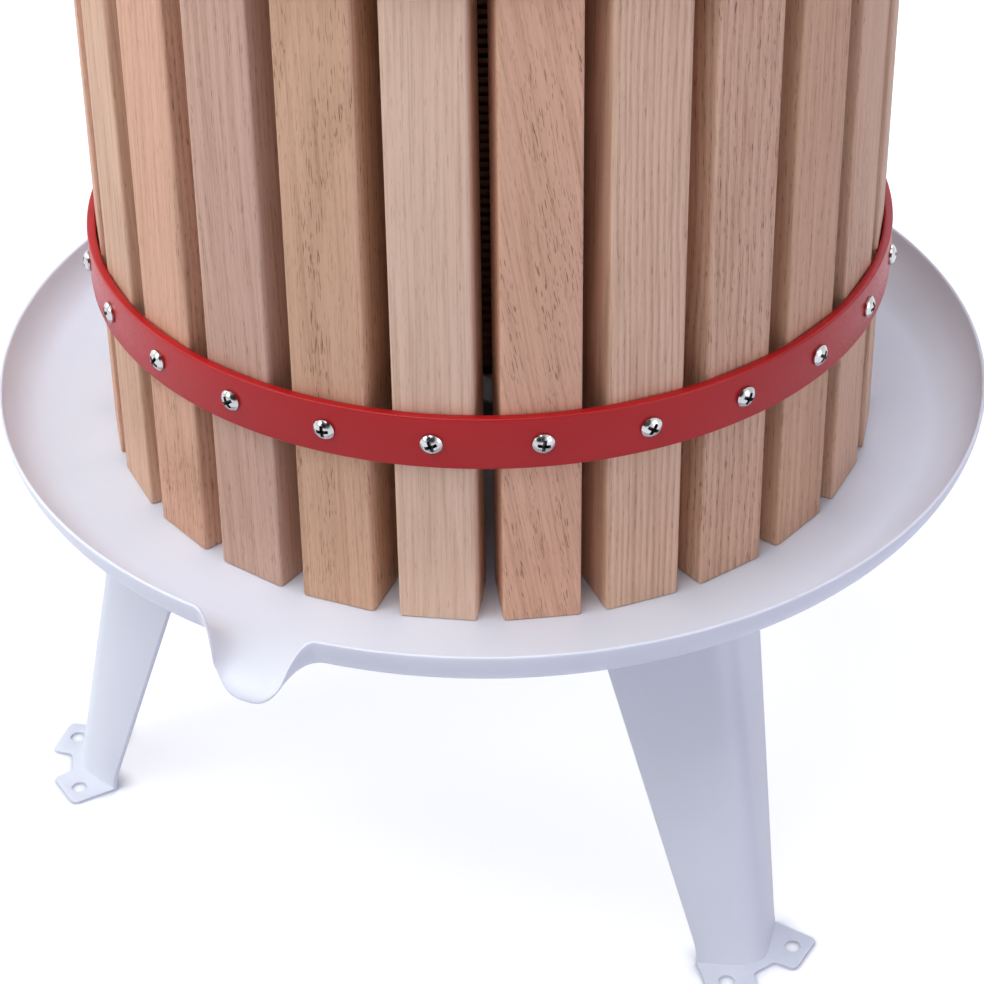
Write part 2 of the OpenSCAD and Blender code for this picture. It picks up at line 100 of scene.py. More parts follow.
class Tree:
    """A node tree and short calls that fill it."""

    def __init__(self, tree):
        self.tree = tree

    def put(self, socket, value):
        """Gives a socket a fixed value or another node's output."""
        if isinstance(value, bpy.types.NodeSocket):
            self.tree.links.new(value, socket)
        else:
            socket.default_value = value

    def node(self, kind, inputs, **settings):
        made = self.tree.nodes.new(kind)
        for key, value in settings.items():
            setattr(made, key, value)
        for key, value in inputs.items():
            self.put(made.inputs[key], value)
        return made

    def attribute(self, name, output):
        return self.node("ShaderNodeAttribute", {}, attribute_name=name).outputs[output]

    def place(self, output="Object"):
        return self.node("ShaderNodeTexCoord", {}).outputs[output]

    def vector(self, operation, first, second=cubed(0.0), output="Vector"):
        inputs = {0: first, 1: second}
        return self.node("ShaderNodeVectorMath", inputs, operation=operation).outputs[output]

    def number(self, operation, first, second=0.0):
        inputs = {0: first, 1: second}
        return self.node("ShaderNodeMath", inputs, operation=operation).outputs[0]

    def noise(self, where, stretch, detail=2.0, roughness=0.5, output="Fac"):
        """Noise whose features repeat about stretch times a metre along each axis."""
        inputs = {"Vector": self.vector("MULTIPLY", where, stretch), "Scale": 1.0, "Detail": detail,
                  "Roughness": roughness}
        return self.node("ShaderNodeTexNoise", inputs).outputs[output]

    def spread(self, value, low, high, to_low=0.0, to_high=1.0, curve="SMOOTHSTEP"):
        """Maps low to high onto to_low to to_high, and keeps within them."""
        inputs = {"Value": value, "From Min": low, "From Max": high, "To Min": to_low, "To Max": to_high}
        return self.node("ShaderNodeMapRange", inputs, interpolation_type=curve).outputs[0]

    def mix(self, share, first, second, blend="MIX"):
        inputs = {0: share, 6: first, 7: second}
        return self.node("ShaderNodeMix", inputs, data_type="RGBA", blend_type=blend).outputs[2]

    def tinted(self, share, colour, tint):
        """The colour, multiplied by a share of a tint."""
        return self.mix(share, colour, tint, "MULTIPLY")

    def shown_to_eye(self):
        """1 for rays from the camera, a mirror or glass, and 0 for rays that only carry light."""
        path = self.node("ShaderNodeLightPath", {}).outputs
        seen = self.number("MAXIMUM", path["Is Camera Ray"], path["Is Glossy Ray"])
        return self.number("MAXIMUM", seen, path["Is Transmission Ray"])


class Shader(Tree):
    """A material and its principled surface."""

    def __init__(self, name):
        self.material = bpy.data.materials.new(name)
        self.material.use_nodes = True
        super().__init__(self.material.node_tree)
        self.surface = self.tree.nodes["Principled BSDF"].inputs

    def bump(self, height, strength, distance):
        inputs = {"Height": height, "Strength": strength, "Distance": distance}
        self.put(self.surface["Normal"], self.node("ShaderNodeBump", inputs).outputs["Normal"])


# Materials

def oak_material():
    """Planed oak: uneven growth rings about a pith, short dark pores and fine fibres along the grain."""
    sway_reach = 12 * mm
    ring_w = 2.4 * mm
    pore_depth = 0.2 * mm
    cloud_tint = (0.90, 0.90, 0.87, 1.0)
    band_tint = (0.80, 0.74, 0.70, 1.0)
    fibre_tint = (0.74, 0.69, 0.64, 1.0)
    ring_tint = (0.60, 0.54, 0.49, 1.0)
    fleck_tint = (1.12, 1.2, 1.2, 1.0)
    pore_tint = (0.34, 0.23, 0.16, 1.0)
    oak = Shader("oak")
    grain = oak.attribute("grain", "Vector")
    wander = oak.noise(grain, (14.0, 14.0, 3.5), detail=3.0, output="Color")
    sway = oak.vector("MULTIPLY", oak.vector("SUBTRACT", wander, cubed(0.5)), cubed(sway_reach))
    bent = oak.vector("ADD", grain, sway)
    from_pith = oak.vector("LENGTH", oak.vector("MULTIPLY", bent, (1.0, 1.0, 0.0)), output="Value")
    outwards = oak.node("ShaderNodeCombineXYZ", {0: from_pith}).outputs[0]
    years = oak.noise(outwards, cubed(110.0), detail=1.0)
    ring = oak.number("FRACT", oak.number("ADD", oak.number("DIVIDE", from_pith, ring_w), years))
    early = oak.number("MULTIPLY", oak.spread(ring, 0.0, 0.14), oak.spread(ring, 0.7, 0.2))
    pore_noise = oak.noise(bent, (2300.0, 2300.0, 170.0), detail=1.5, roughness=0.55)
    pores = oak.number("MULTIPLY", oak.spread(pore_noise, 0.58, 0.68),
                       oak.spread(early, 0.0, 1.0, 0.35, 1.0))
    fibres = oak.noise(grain, (1300.0, 1300.0, 16.0), detail=3.0, roughness=0.65)
    broad = oak.noise(grain, (70.0, 70.0, 3.0), detail=3.0)
    bands = oak.noise(bent, (420.0, 420.0, 9.0), detail=2.0)
    flecks = oak.spread(oak.noise(bent, (300.0, 1100.0, 70.0), detail=1.0), 0.66, 0.8)
    shown_rings = oak.number("MULTIPLY", early, oak.attribute("depth", "Fac"))
    shown_pores = oak.number("MULTIPLY", pores, oak.attribute("pores", "Fac"))
    colour = oak.attribute("tone", "Color")
    colour = oak.tinted(oak.spread(broad, 0.35, 0.66, 0.0, 0.55), colour, cloud_tint)
    colour = oak.tinted(oak.spread(bands, 0.45, 0.7, 0.0, 0.5), colour, band_tint)
    colour = oak.tinted(oak.spread(fibres, 0.42, 0.72, 0.0, 0.6), colour, fibre_tint)
    colour = oak.tinted(shown_rings, colour, ring_tint)
    colour = oak.tinted(oak.number("MULTIPLY", flecks, 0.3), colour, fleck_tint)
    colour = oak.tinted(shown_pores, colour, pore_tint)
    oak.put(oak.surface["Base Color"], colour)
    oak.put(oak.surface["Roughness"], oak.spread(fibres, 0.3, 0.7, 0.55, 0.7))
    oak.surface["Specular IOR Level"].default_value = 0.3
    relief = oak.number("SUBTRACT", oak.number("MULTIPLY", fibres, 0.35), pores)
    oak.bump(relief, 0.25, pore_depth)
    return oak.material


def coat_material(name, colour, shade, roughness, gloss):
    """Powder coat: a faint clouding, a fine orange peel and a satin gloss."""
    peel_depth = 0.12 * mm
    coat = Shader(name)
    where = coat.place()
    cloud = coat.noise(where, cubed(16.0), detail=4.0)
    peel = coat.noise(where, cubed(720.0), detail=1.5)
    coat.put(coat.surface["Base Color"], coat.mix(coat.spread(cloud, 0.35, 0.68), colour, shade))
    coat.put(coat.surface["Roughness"], coat.spread(peel, 0.3, 0.7, roughness - 0.04, roughness + 0.05))
    coat.surface["Specular IOR Level"].default_value = gloss
    coat.bump(peel, 0.09, peel_depth)
    return coat.material


def steel_material(name, colour, shade, stretch, roughness, basket_shade=None):
    """Plated steel with fine tool marks drawn out along one axis; an optional painted shade darkens it
    below a height, for the part inside the basket.
    """
    mark_depth = 0.08 * mm
    basket_shade_top = 450 * mm
    basket_shade_full = 360 * mm
    steel = Shader(name)
    where = steel.place()
    marks = steel.noise(where, stretch, detail=3.0, roughness=0.6)
    cloud = steel.noise(where, cubed(45.0), detail=3.0)
    tint = steel.mix(steel.spread(cloud, 0.3, 0.7), colour, shade)
    if basket_shade:
        # Painted shade: dark brown below the basket's top, where the inside of the basket gets little
        # light.
        height = steel.node("ShaderNodeSeparateXYZ", {0: where}).outputs["Z"]
        tint = steel.mix(steel.spread(height, basket_shade_top, basket_shade_full), tint, basket_shade)
    steel.put(steel.surface["Base Color"], tint)
    steel.put(steel.surface["Roughness"], steel.spread(marks, 0.3, 0.7, roughness - 0.06, roughness + 0.1))
    steel.surface["Metallic"].default_value = 1.0
    steel.bump(marks, 0.06, mark_depth)
    return steel.material


def moulded_material(name, colour, shade, roughness, pebble):
    """Moulded plastic or rubber with a pebbled skin."""
    pebble_depth = 0.15 * mm
    skin = Shader(name)
    where = skin.place()
    pebbles = skin.noise(where, cubed(pebble), detail=1.0)
    dust = skin.noise(where, cubed(60.0), detail=4.0)
    skin.put(skin.surface["Base Color"], skin.mix(skin.spread(dust, 0.4, 0.75), colour, shade))
    skin.put(skin.surface["Roughness"], skin.spread(dust, 0.35, 0.7, roughness, roughness + 0.12))
    skin.bump(pebbles, 0.18, pebble_depth)
    return skin.material


oak = oak_material()
white_coat = coat_material("white_coat", (0.78, 0.80, 0.87, 1.0), (0.75, 0.77, 0.84, 1.0), 0.40, 0.5)
red_coat = coat_material("red_coat", (0.45, 0.010, 0.012, 1.0), (0.41, 0.008, 0.010, 1.0), 0.36, 0.3)
nickel = steel_material("nickel", (0.60, 0.59, 0.58, 1.0), (0.47, 0.465, 0.46, 1.0), cubed(900.0), 0.17)
# Near-black steel for the screws' cross recesses: painted shade in the hollows, not a different finish.
recess_shade_steel = steel_material("recess_shade_steel", (0.10, 0.098, 0.095, 1.0), (0.06, 0.06, 0.06, 1.0),
                              cubed(900.0), 0.40)
# The thread's lower part, inside the basket, is painted dark brown: painted shade.
rolled_steel = steel_material("rolled_steel", (0.34, 0.335, 0.33, 1.0), (0.25, 0.245, 0.24, 1.0),
                              (1400.0, 1400.0, 90.0), 0.34, basket_shade=(0.13, 0.055, 0.035, 1.0))
drawn_steel = steel_material("drawn_steel", (0.60, 0.60, 0.61, 1.0), (0.49, 0.49, 0.51, 1.0),
                             (30.0, 1500.0, 1500.0), 0.24)
black_plastic = moulded_material("black_plastic", (0.016, 0.016, 0.018, 1.0), (0.03, 0.03, 0.032, 1.0),
                                 0.42, 1100.0)
black_rubber = moulded_material("black_rubber", (0.022, 0.022, 0.023, 1.0), (0.045, 0.044, 0.043, 1.0),
                                0.62, 700.0)


# Mesh building

def new_mesh(name, points, faces, sharp=40.0, coats=None):
    """A clean mesh, smooth except across edges over an angle; coats gives each face's material number."""
    weld = 0.001 * mm
    work = bmesh.new()
    vertices = [work.verts.new(point) for point in points]
    for i, face in enumerate(faces):
        made = work.faces.new([vertices[k] for k in face])
        made.material_index = coats[i] if coats else 0
    bmesh.ops.remove_doubles(work, verts=work.verts, dist=weld)
    bmesh.ops.recalc_face_normals(work, faces=work.faces)
    mesh = bpy.data.meshes.new(name)
    work.to_mesh(mesh)
    work.free()
    mesh.shade_smooth()
    mesh.set_sharp_from_angle(angle=math.radians(sharp))
    return mesh


def lofted(rings, looped=False, capped=True):
    """Points and faces of a skin over rings of equal count; looped joins the last ring to the first."""
    count = len(rings[0])
    points = [point for ring in rings for point in ring]
    faces = []
    for row in range(len(rings) if looped else len(rings) - 1):
        here = row * count
        above = (row + 1) % len(rings) * count
        for i in range(count):
            after = (i + 1) % count
            faces.append((here + i, here + after, above + after, above + i))
    if capped and not looped:
        faces.append(tuple(reversed(range(count))))
        faces.append(tuple(range(len(points) - count, len(points))))
    return points, faces


def revolved(profile, steps, looped=False):
    """Skin of a profile of (radius, height) turned about Z; points on the axis close into a pole."""
    angles = [full_turn * i / steps for i in range(steps)]
    rings = [[(radius * math.cos(a), radius * math.sin(a), height) for a in angles]
             for radius, height in profile]
    return lofted(rings, looped, capped=False)


def rectangle(low_x, low_y, high_x, high_y):
    """Corners of a rectangle, anticlockwise."""
    return [(low_x, low_y), (high_x, low_y), (high_x, high_y), (low_x, high_y)]


def softened(outline, radius, steps=4):
    """The outline with each corner replaced by a curve that starts a radius away from it."""
    most_of_side = 0.48
    made = []
    for i, corner in enumerate(outline):
        corner = Vector(corner)
        before = Vector(outline[i - 1]) - corner
        after = Vector(outline[(i + 1) % len(outline)]) - corner
        start = corner + before.normalized() * min(radius, before.length * most_of_side)
        end = corner + after.normalized() * min(radius, after.length * most_of_side)
        for k in range(steps + 1):
            s = k / steps
            made.append(start * (1 - s) ** 2 + corner * 2 * s * (1 - s) + end * s ** 2)
    return made


def inset(outline, distance):
    """An anticlockwise outline moved inwards."""
    made = []
    for i, point in enumerate(outline):
        along = (outline[(i + 1) % len(outline)] - outline[i - 1]).normalized()
        made.append(point + Vector((-along.y, along.x)) * distance)
    return made


def eased_prism(outline, low, high, ease):
    """Skin of an outline carried from one height to another, with rounded end edges."""
    steps = 3
    angles = [quarter_turn * k / steps for k in range(steps + 1)]
    rings = []
    for a in angles:
        ring = inset(outline, ease * (1 - math.sin(a)))
        rings.append([(p.x, p.y, low + ease * (1 - math.cos(a))) for p in ring])
    for a in angles:
        ring = inset(outline, ease * (1 - math.cos(a)))
        rings.append([(p.x, p.y, high - ease * (1 - math.sin(a))) for p in ring])
    return lofted(rings)


def scattered(skin, places):
    """One skin repeated at several places."""
    points, faces = skin
    all_points = []
    all_faces = []
    for place in places:
        first = len(all_points)
        all_points += [place @ Vector(point) for point in points]
        all_faces += [tuple(first + i for i in face) for face in faces]
    return all_points, all_faces


def placed(skin, place):
    """One skin moved to a place."""
    return scattered(skin, [place])


def skin_of(mesh):
    """Points and faces of a mesh."""
    points = [vertex.co.copy() for vertex in mesh.vertices]
    return points, [tuple(face.vertices) for face in mesh.polygons]


def eased_copy(node, ease, steps):
    """Skin of a node's welded mesh with its hard edges rounded off."""
    weld = 0.002 * mm
    flat = math.radians(0.6)
    hard = math.radians(25)
    work = bmesh.new()
    work.from_mesh(frame["nodes"][node].data)
    bmesh.ops.remove_doubles(work, verts=work.verts, dist=weld)
    bmesh.ops.dissolve_limit(work, angle_limit=flat, verts=work.verts, edges=work.edges)
    hard_edges = [edge for edge in work.edges if edge.is_manifold and edge.calc_face_angle() > hard]
    bmesh.ops.bevel(work, geom=hard_edges, offset=ease, offset_type="OFFSET", segments=steps, profile=0.5,
                    affect="EDGES", clamp_overlap=True)
    mesh = bpy.data.meshes.new(node + "_eased")
    work.to_mesh(mesh)
    work.free()
    skin = skin_of(mesh)
    bpy.data.meshes.remove(mesh)
    return skin


def piece(name, mesh, material, slot, *nodes, turn=0.0):
    """A shown piece that stands for CAD nodes and rides on their body, turned about the spindle."""
    made = bpy.data.objects.new(name, mesh)
    bpy.context.scene.collection.objects.link(made)
    made.rotation_euler.z = turn
    mesh.materials.append(material)
    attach(made, frame["nodes"][nodes[0]]["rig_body"])
    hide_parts(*nodes)


# Wood grain: each board is cut from its own place in a log

oak_tones = {
    "pale": (0.83, 0.585, 0.435),
    "rosy": (0.82, 0.55, 0.39),
    "pink": (0.80, 0.475, 0.33),
    "tan": (0.72, 0.445, 0.295),
    "sandy": (0.77, 0.495, 0.345),
    "grey": (0.67, 0.43, 0.33),
}


def give_grain(mesh, to_board, draw, look):
    """Stores where each vertex lies in the log, with Z along the grain, and the board's own look."""
    tone, depth, pores, lean, face_turn = look
    log_r = draw.uniform(45, 120) * mm
    shift = Matrix.Translation((log_r, draw.uniform(-12, 12) * mm, draw.uniform(-4, 4)))
    sawn = Matrix.Rotation(math.radians(lean), 4, "X") @ Matrix.Rotation(math.radians(face_turn), 4, "Z")
    to_log = shift @ sawn @ to_board
    grain = mesh.attributes.new("grain", "FLOAT_VECTOR", "POINT")
    grain.data.foreach_set("vector", [x for vertex in mesh.vertices for x in to_log @ vertex.co])
    colour = mesh.attributes.new("tone", "FLOAT_VECTOR", "POINT")
    colour.data.foreach_set("vector", list(oak_tones[tone]) * len(mesh.vertices))
    for name, value in (("depth", depth), ("pores", pores)):
        shares = mesh.attributes.new(name, "FLOAT", "POINT")
        shares.data.foreach_set("value", [value] * len(mesh.vertices))


def any_look(draw):
    """Look of a board: tone, ring depth, pores, lean of the grain and turn of its face, in degrees."""
    return (draw.choice(sorted(oak_tones)), draw.uniform(0.1, 0.34), draw.uniform(0.35, 0.7),
            draw.uniform(-2, 2), draw.uniform(0, 180))


# Basket

def slats():
    """Oak slats, all of one shape, each with its own grain and tone; the front ones have the photo's."""
    edge = 1.5 * mm
    end_edge = 0.5 * mm
    draw = random.Random(25)
    looks = {
        "slat_25": ("pale", 0.08, 0.25, 0.6, 65),
        "slat_24": ("tan", 0.2, 0.85, -0.8, 12),
        "slat_23": ("grey", 0.14, 0.45, -1.0, 30),
        "slat_01": ("pink", 0.12, 0.8, -9.0, 6),
        "slat_02": ("rosy", 0.36, 0.35, 1.2, 82),
        "slat_03": ("sandy", 0.36, 0.85, -1.5, 58),
    }
    points = turned_points(slat_names[0], facing(slat_names[0]))
    low = Vector(points.min(0))
    high = Vector(points.max(0))
    to_board = Matrix.Translation((low + high) / -2)
    outline = softened(rectangle(low.x, low.y, high.x, high.y), edge)
    skin = eased_prism(outline, low.z, high.z, end_edge)
    for name in slat_names:
        mesh = new_mesh(name + "_board", *skin)
        give_grain(mesh, to_board, draw, looks.get(name, any_look(draw)))
        piece(name + "_board", mesh, oak, "oak", name, turn=facing(name))


def hoop(node):
    """Flat-bar ring with softened edges."""
    thick = 3.5 * mm
    edge = 0.9 * mm
    around = 300
    low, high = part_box(node)
    profile = softened(rectangle(high.x - thick, low.z, high.x, high.z), edge)
    mesh = new_mesh(node + "_bar", *revolved(profile, around, looped=True))
    piece(node + "_bar", mesh, red_coat, "red_enamel", node)


def cross_cutter(reach, width, depth, top):
    """Skins of the two tapered bars that cut a screw's cross recess down from a height."""
    foot_reach = 0.4 * reach
    foot_w = 0.6 * width
    outline = rectangle(-1, -1, 1, 1)
    wide = [(x * reach, y * width / 2, top) for x, y in outline]
    narrow = [(x * foot_reach, y * foot_w / 2, top - depth) for x, y in outline]
    bar = lofted([narrow, wide])
    return [placed(bar, Matrix.Rotation(turn, 4, "Z")) for turn in (0, quarter_turn)]


def cut(mesh, cutter):
    """The mesh less a cutter."""
    body = bpy.data.objects.new("cut_body", mesh)
    tool = bpy.data.objects.new("cut_tool", cutter)
    for made in (body, tool):
        bpy.context.scene.collection.objects.link(made)
    change = body.modifiers.new("cut", "BOOLEAN")
    change.object = tool
    change.operation = "DIFFERENCE"
    change.solver = "EXACT"
    graph = bpy.context.evaluated_depsgraph_get()
    result = bpy.data.meshes.new_from_object(body.evaluated_get(graph))
    for made in (body, tool):
        bpy.data.objects.remove(made)
    return result


def dome_height(aside):
    """Height of a screw's head at a share of its radius, as a share of its full height."""
    rim = 0.34
    crown = 0.85
    return rim + (1 - rim) * (1 - crown * aside ** 2 - (1 - crown) * aside ** 8)


def pan_head_screw(head_r, head_h, shank_r, shank_len):
    """Skin of a pan-head screw with a cross recess, head up, its seat at height 0."""
    steps = 10
    around = 40
    tip_r = 0.3 * shank_r
    tip_len = 3 * shank_r
    seat_r = 0.95 * head_r
    seat_edge = 0.08 * head_h
    recess_reach = 0.72 * head_r
    recess_w = 0.36 * head_r
    recess_depth = 0.8 * head_h
    recess_top = 1.05 * head_h
    shares = [1 - k / steps for k in range(steps + 1)]
    dome = [(head_r * aside, head_h * dome_height(aside)) for aside in shares]
    profile = [(0, -shank_len), (tip_r, -shank_len), (shank_r, tip_len - shank_len), (shank_r, 0),
               (seat_r, 0), (head_r, seat_edge)] + dome
    mesh = new_mesh("screw_blank", *revolved(profile, around))
    for skin in cross_cutter(recess_reach, recess_w, recess_depth, recess_top):
        mesh = cut(mesh, new_mesh("screw_cutter", *skin))
    return skin_of(mesh)


def in_recess(screw, head_r, head_h):
    """1 for each face that lies in a screw's recess and 0 for the others: the faces that get painted
    shade.
    """
    widest = 0.9
    least_depth = 0.06
    points, faces = screw
    flags = []
    for face in faces:
        middle = sum((points[i] for i in face), Vector()) / len(face)
        aside = Vector((middle.x, middle.y)).length / head_r
        sunk = 0 < middle.z < head_h * (dome_height(aside) - least_depth)
        flags.append(int(sunk and aside < widest))
    return flags


def hoop_screws(node, hoop_node, draw):
    """One screw per slat, each left at its own turn."""
    head_r = 4 * mm
    head_h = 2.6 * mm
    shank_r = 2 * mm
    shank_len = 14 * mm
    low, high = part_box(hoop_node)
    middle = (low.z + high.z) / 2
    screw = pan_head_screw(head_r, head_h, shank_r, shank_len)
    places = []
    for name in slat_names:
        seat = Matrix.Rotation(facing(name), 4, "Z") @ Matrix.Translation((high.x, 0, middle))
        turn = Matrix.Rotation(quarter_turn, 4, "Y") @ Matrix.Rotation(draw.uniform(0, full_turn), 4, "Z")
        places.append(seat @ turn)
    # Faces in the cross recess take the second, near-black material: painted shade.
    coats = in_recess(screw, head_r, head_h) * len(places)
    mesh = new_mesh(node + "_set", *scattered(screw, places), sharp=32.0, coats=coats)
    piece(node + "_set", mesh, nickel, "plated_steel", node)
    mesh.materials.append(recess_shade_steel)


# Pan

floor_z = 176 * mm
sheet = 1.6 * mm
floor_r = 175 * mm
wall_w = 19.7 * mm
pan_depth = 18 * mm
rim_slope = math.radians(85)
spout_reach = 9.6 * mm
spout_half_w = 24.5 * mm
spout_shoulder_w = 10 * mm
spout_drop = 9 * mm
spout_turn = math.radians(-1.6)
rim_r = floor_r + wall_w


def spout_open(angle):
    """1 in the middle of the spout, 0 on the plain rim: a blunt tongue between two rounded shoulders."""
    aside = abs(rim_r * math.sin(angle)) / spout_half_w
    joint = 1 - spout_shoulder_w / spout_half_w
    fall = 1 / (joint ** 3 + 1.5 * joint ** 2 * (1 - joint))
    if math.cos(angle) < 0 or aside >= 1:
        return 0
    if aside < joint:
        return 1 - fall * aside ** 3
    return 1.5 * fall * joint ** 2 * (1 - aside) ** 2 / (1 - joint)


def wall_point(s, angle):
    """Point of the pan's inner face as (radius, height), with s from 0 at the floor to 1 at the rim."""
    opened = spout_open(angle)
    slope = rim_slope * s
    out = math.sin(slope) / math.sin(rim_slope)
    up = (1 - math.cos(slope)) / (1 - math.cos(rim_slope))
    return Vector((floor_r + (wall_w + spout_reach * opened) * out,
                   floor_z + (pan_depth * (1 - opened) - spout_drop * opened) * up))


def wall_section(angle):
    """The wall's section at an angle: up the inner face, round the edge and down the outer face."""
    steps = 18
    edge_steps = 6
    small = 0.02
    inner = []
    outer = []
    for k in range(steps + 1):
        s = k / steps
        along = wall_point(s + small, angle) - wall_point(max(s - small, 0), angle)
        if k == 0:
            along = Vector((1, 0))
        through = Vector((along.y, -along.x)).normalized()
        inner.append(wall_point(s, angle))
        outer.append(inner[-1] + through * sheet)
    middle = (inner[-1] + outer[-1]) / 2
    forward = (wall_point(1, angle) - wall_point(1 - small, angle)).normalized()
    across = (inner[-1] - outer[-1]) / 2
    edge = []
    for k in range(1, edge_steps):
        a = math.pi * k / edge_steps
        edge.append(middle + across * math.cos(a) + forward * sheet / 2 * math.sin(a))
    return inner + edge + outer[::-1]


def pan():
    """Pressed dish with its spout, swept as one sheet."""
    spout_steps = 80
    rim_steps = 240
    spout_half = math.asin(spout_half_w / rim_r)
    rest = full_turn - 2 * spout_half
    spout_angles = [spout_half * (2 * i / spout_steps - 1) for i in range(spout_steps + 1)]
    rim_angles = [spout_half + rest * i / rim_steps for i in range(1, rim_steps)]
    rings = []
    for a in spout_angles + rim_angles:
        aim = a + spout_turn
        rings.append([(p.x * math.sin(aim), -p.x * math.cos(aim), p.y) for p in wall_section(a)])
    points, faces = lofted(rings, looped=True)
    count = len(rings[0])
    open_row = count - 1
    faces = [face for face in faces if not {i % count for i in face} == {0, open_row}]
    faces.append(tuple(row * count for row in range(len(rings))))
    faces.append(tuple(row * count + open_row for row in reversed(range(len(rings)))))
    piece("pan_sheet", new_mesh("pan_sheet", points, faces), white_coat, "white_enamel", "pan")


# Legs and their bolts

def legs():
    """Folded sheet legs with their cut edges broken."""
    edge = 0.3 * mm
    for name in leg_names:
        mesh = new_mesh(name + "_sheet", *eased_copy(name, edge, 2))
        piece(name + "_sheet", mesh, white_coat, "white_enamel", name)


def hex_nut(corners_d, height, bore_r):
    """Skin of a hexagon nut, chamfered above and below, with its foot at height 0."""
    steps = 96
    bore_edge = 0.6 * mm
    flat_r = corners_d / 2 * math.cos(math.pi / 6)
    chamfer_r = flat_r * 0.97
    slope = math.tan(math.radians(30))
    sections = []
    for i in range(steps):
        a = full_turn * i / steps
        side_r = flat_r / math.cos((a % (math.pi / 3)) - math.pi / 6)
        drop = max(side_r - chamfer_r, 0) * slope
        section = [(bore_r, bore_edge), (bore_r + bore_edge, 0), (chamfer_r, 0), (side_r, drop),
                   (side_r, height - drop), (chamfer_r, height), (bore_r + bore_edge, height),
                   (bore_r, height - bore_edge)]
        sections.append([(r * math.cos(a), r * math.sin(a), z) for r, z in section])
    rings = list(zip(*sections))
    return lofted(rings, looped=True)


def bolt_places():
    """Where the leg bolts stand, found from the six nuts' middles."""
    least_out = 80 * mm
    made = []
    for name in leg_names:
        angle = facing(name)
        points = turned_points("leg_nuts", angle)
        mine = points[points[:, 0] > least_out]
        for side in (-1, 1):
            near = mine[mine[:, 1] * side > 0]
            middle = (near.min(0) + near.max(0)) / 2
            made.append(Matrix.Rotation(angle, 4, "Z") @ Matrix.Translation((middle[0], middle[1], 0)))
    return made


def leg_bolts():
    """Round-headed bolts through the pan's floor."""
    head_r = 8 * mm
    shank_r = 4 * mm
    tip = 0.8 * mm
    brim = 0.2
    steps = 8
    around = 40
    low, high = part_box("leg_bolts")
    head_h = high.z - floor_z
    tail = low.z - floor_z
    seat_r = 0.97 * head_r
    seat_edge = 0.05 * head_h
    angles = [quarter_turn * k / steps for k in range(steps + 1)]
    dome = [(head_r * math.cos(a), head_h * (brim + (1 - brim) * math.sin(a))) for a in angles]
    profile = [(0, tail), (shank_r - tip, tail), (shank_r, tail + tip), (shank_r, 0),
               (seat_r, 0), (head_r, seat_edge)] + dome
    seats = [place @ Matrix.Translation((0, 0, floor_z)) for place in bolt_places()]
    mesh = new_mesh("leg_bolt_set", *scattered(revolved(profile, around), seats))
    piece("leg_bolt_set", mesh, nickel, "plated_steel", "leg_bolts")


def leg_nuts():
    """The bolts' nuts, under the legs' flanges."""
    corners_d = 15 * mm
    bore_r = 4.05 * mm
    low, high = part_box("leg_nuts")
    nut = hex_nut(corners_d, high.z - low.z, bore_r)
    seats = [place @ Matrix.Translation((0, 0, low.z)) for place in bolt_places()]
    mesh = new_mesh("leg_nut_set", *scattered(nut, seats), sharp=20.0)
    piece("leg_nut_set", mesh, nickel, "plated_steel", "leg_nuts")


# Spindle and what clamps it

spindle_bore_r = 10.05 * mm


def washer(node, bore_r, edge):
    """Skin of a disc with a bore and softened edges."""
    around = 120
    low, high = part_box(node)
    profile = softened(rectangle(bore_r, low.z, high.x, high.z), edge, 3)
    return revolved(profile, around, looped=True)


def smooth_step(x):
    """0 below 0, 1 above 1, and a smooth rise between."""
    x = min(max(x, 0), 1)
    return x * x * (3 - 2 * x)


def threaded_rod(low, high, crest_r, root_r, pitch, plain):
    """Skin of a rod with a right-hand trapezoid thread and plain ends; rows climb with the helix."""
    around = 40
    rows_per_turn = 8
    crest = 0.42
    flank = 0.12
    tip = 1.2 * mm
    rows = []
    total = int((high - low) / pitch + 2) * rows_per_turn
    for row in range(total + 1):
        share = row % rows_per_turn / rows_per_turn
        rise = smooth_step(share / flank) - smooth_step((share - crest) / flank)
        thread_r = root_r + (crest_r - root_r) * rise
        ring = []
        for i in range(around + 1):
            turn = i / around
            z = low + (row / rows_per_turn - 1 + turn) * pitch
            end = min(z - low, high - z)
            r = thread_r if end > plain else min(thread_r, root_r - max(tip - end, 0))
            r = r if end > 0 else 0.0
            angle = full_turn * turn
            ring.append((r * math.cos(angle), r * math.sin(angle), min(max(z, low), high)))
        rows.append(ring)
    width = around + 1
    points = [point for ring in rows for point in ring]
    faces = []
    for row in range(total):
        for i in range(around):
            here = row * width + i
            faces.append((here, here + 1, here + 1 + width, here + width))
    return points, faces


def spindle():
    """Threaded spindle."""
    pitch = 4 * mm
    thread_depth = 1.9 * mm
    plain = 5 * mm
    low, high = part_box("spindle")
    rod = threaded_rod(low.z, high.z, high.x, high.x - thread_depth, pitch, plain)
    mesh = new_mesh("spindle_thread", *rod, sharp=50.0)
    piece("spindle_thread", mesh, rolled_steel, "plated_steel", "spindle")


def spindle_nuts():
    """The two nuts that clamp the spindle to the pan."""
    corners_d = 36 * mm
    for node in ("spindle_seat_nut", "spindle_base_nut"):
        low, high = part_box(node)
        nut = hex_nut(corners_d, high.z - low.z, spindle_bore_r)
        mesh = new_mesh(node + "_hex", *placed(nut, Matrix.Translation((0, 0, low.z))), sharp=20.0)
        piece(node + "_hex", mesh, nickel, "plated_steel", node)


def spindle_washers():
    """The pan's seal and the stiffener plate under the pan."""
    seal_edge = 0.5 * mm
    plate_edge = 0.8 * mm
    seal = new_mesh("pan_seal_washer", *washer("pan_seal", spindle_bore_r, seal_edge))
    piece("pan_seal_washer", seal, black_rubber, "black_rubber", "pan_seal")
    plate = new_mesh("stiffener_disc", *washer("stiffener_plate", spindle_bore_r, plate_edge))
    piece("stiffener_disc", plate, white_coat, "white_enamel", "stiffener_plate")


# Press head

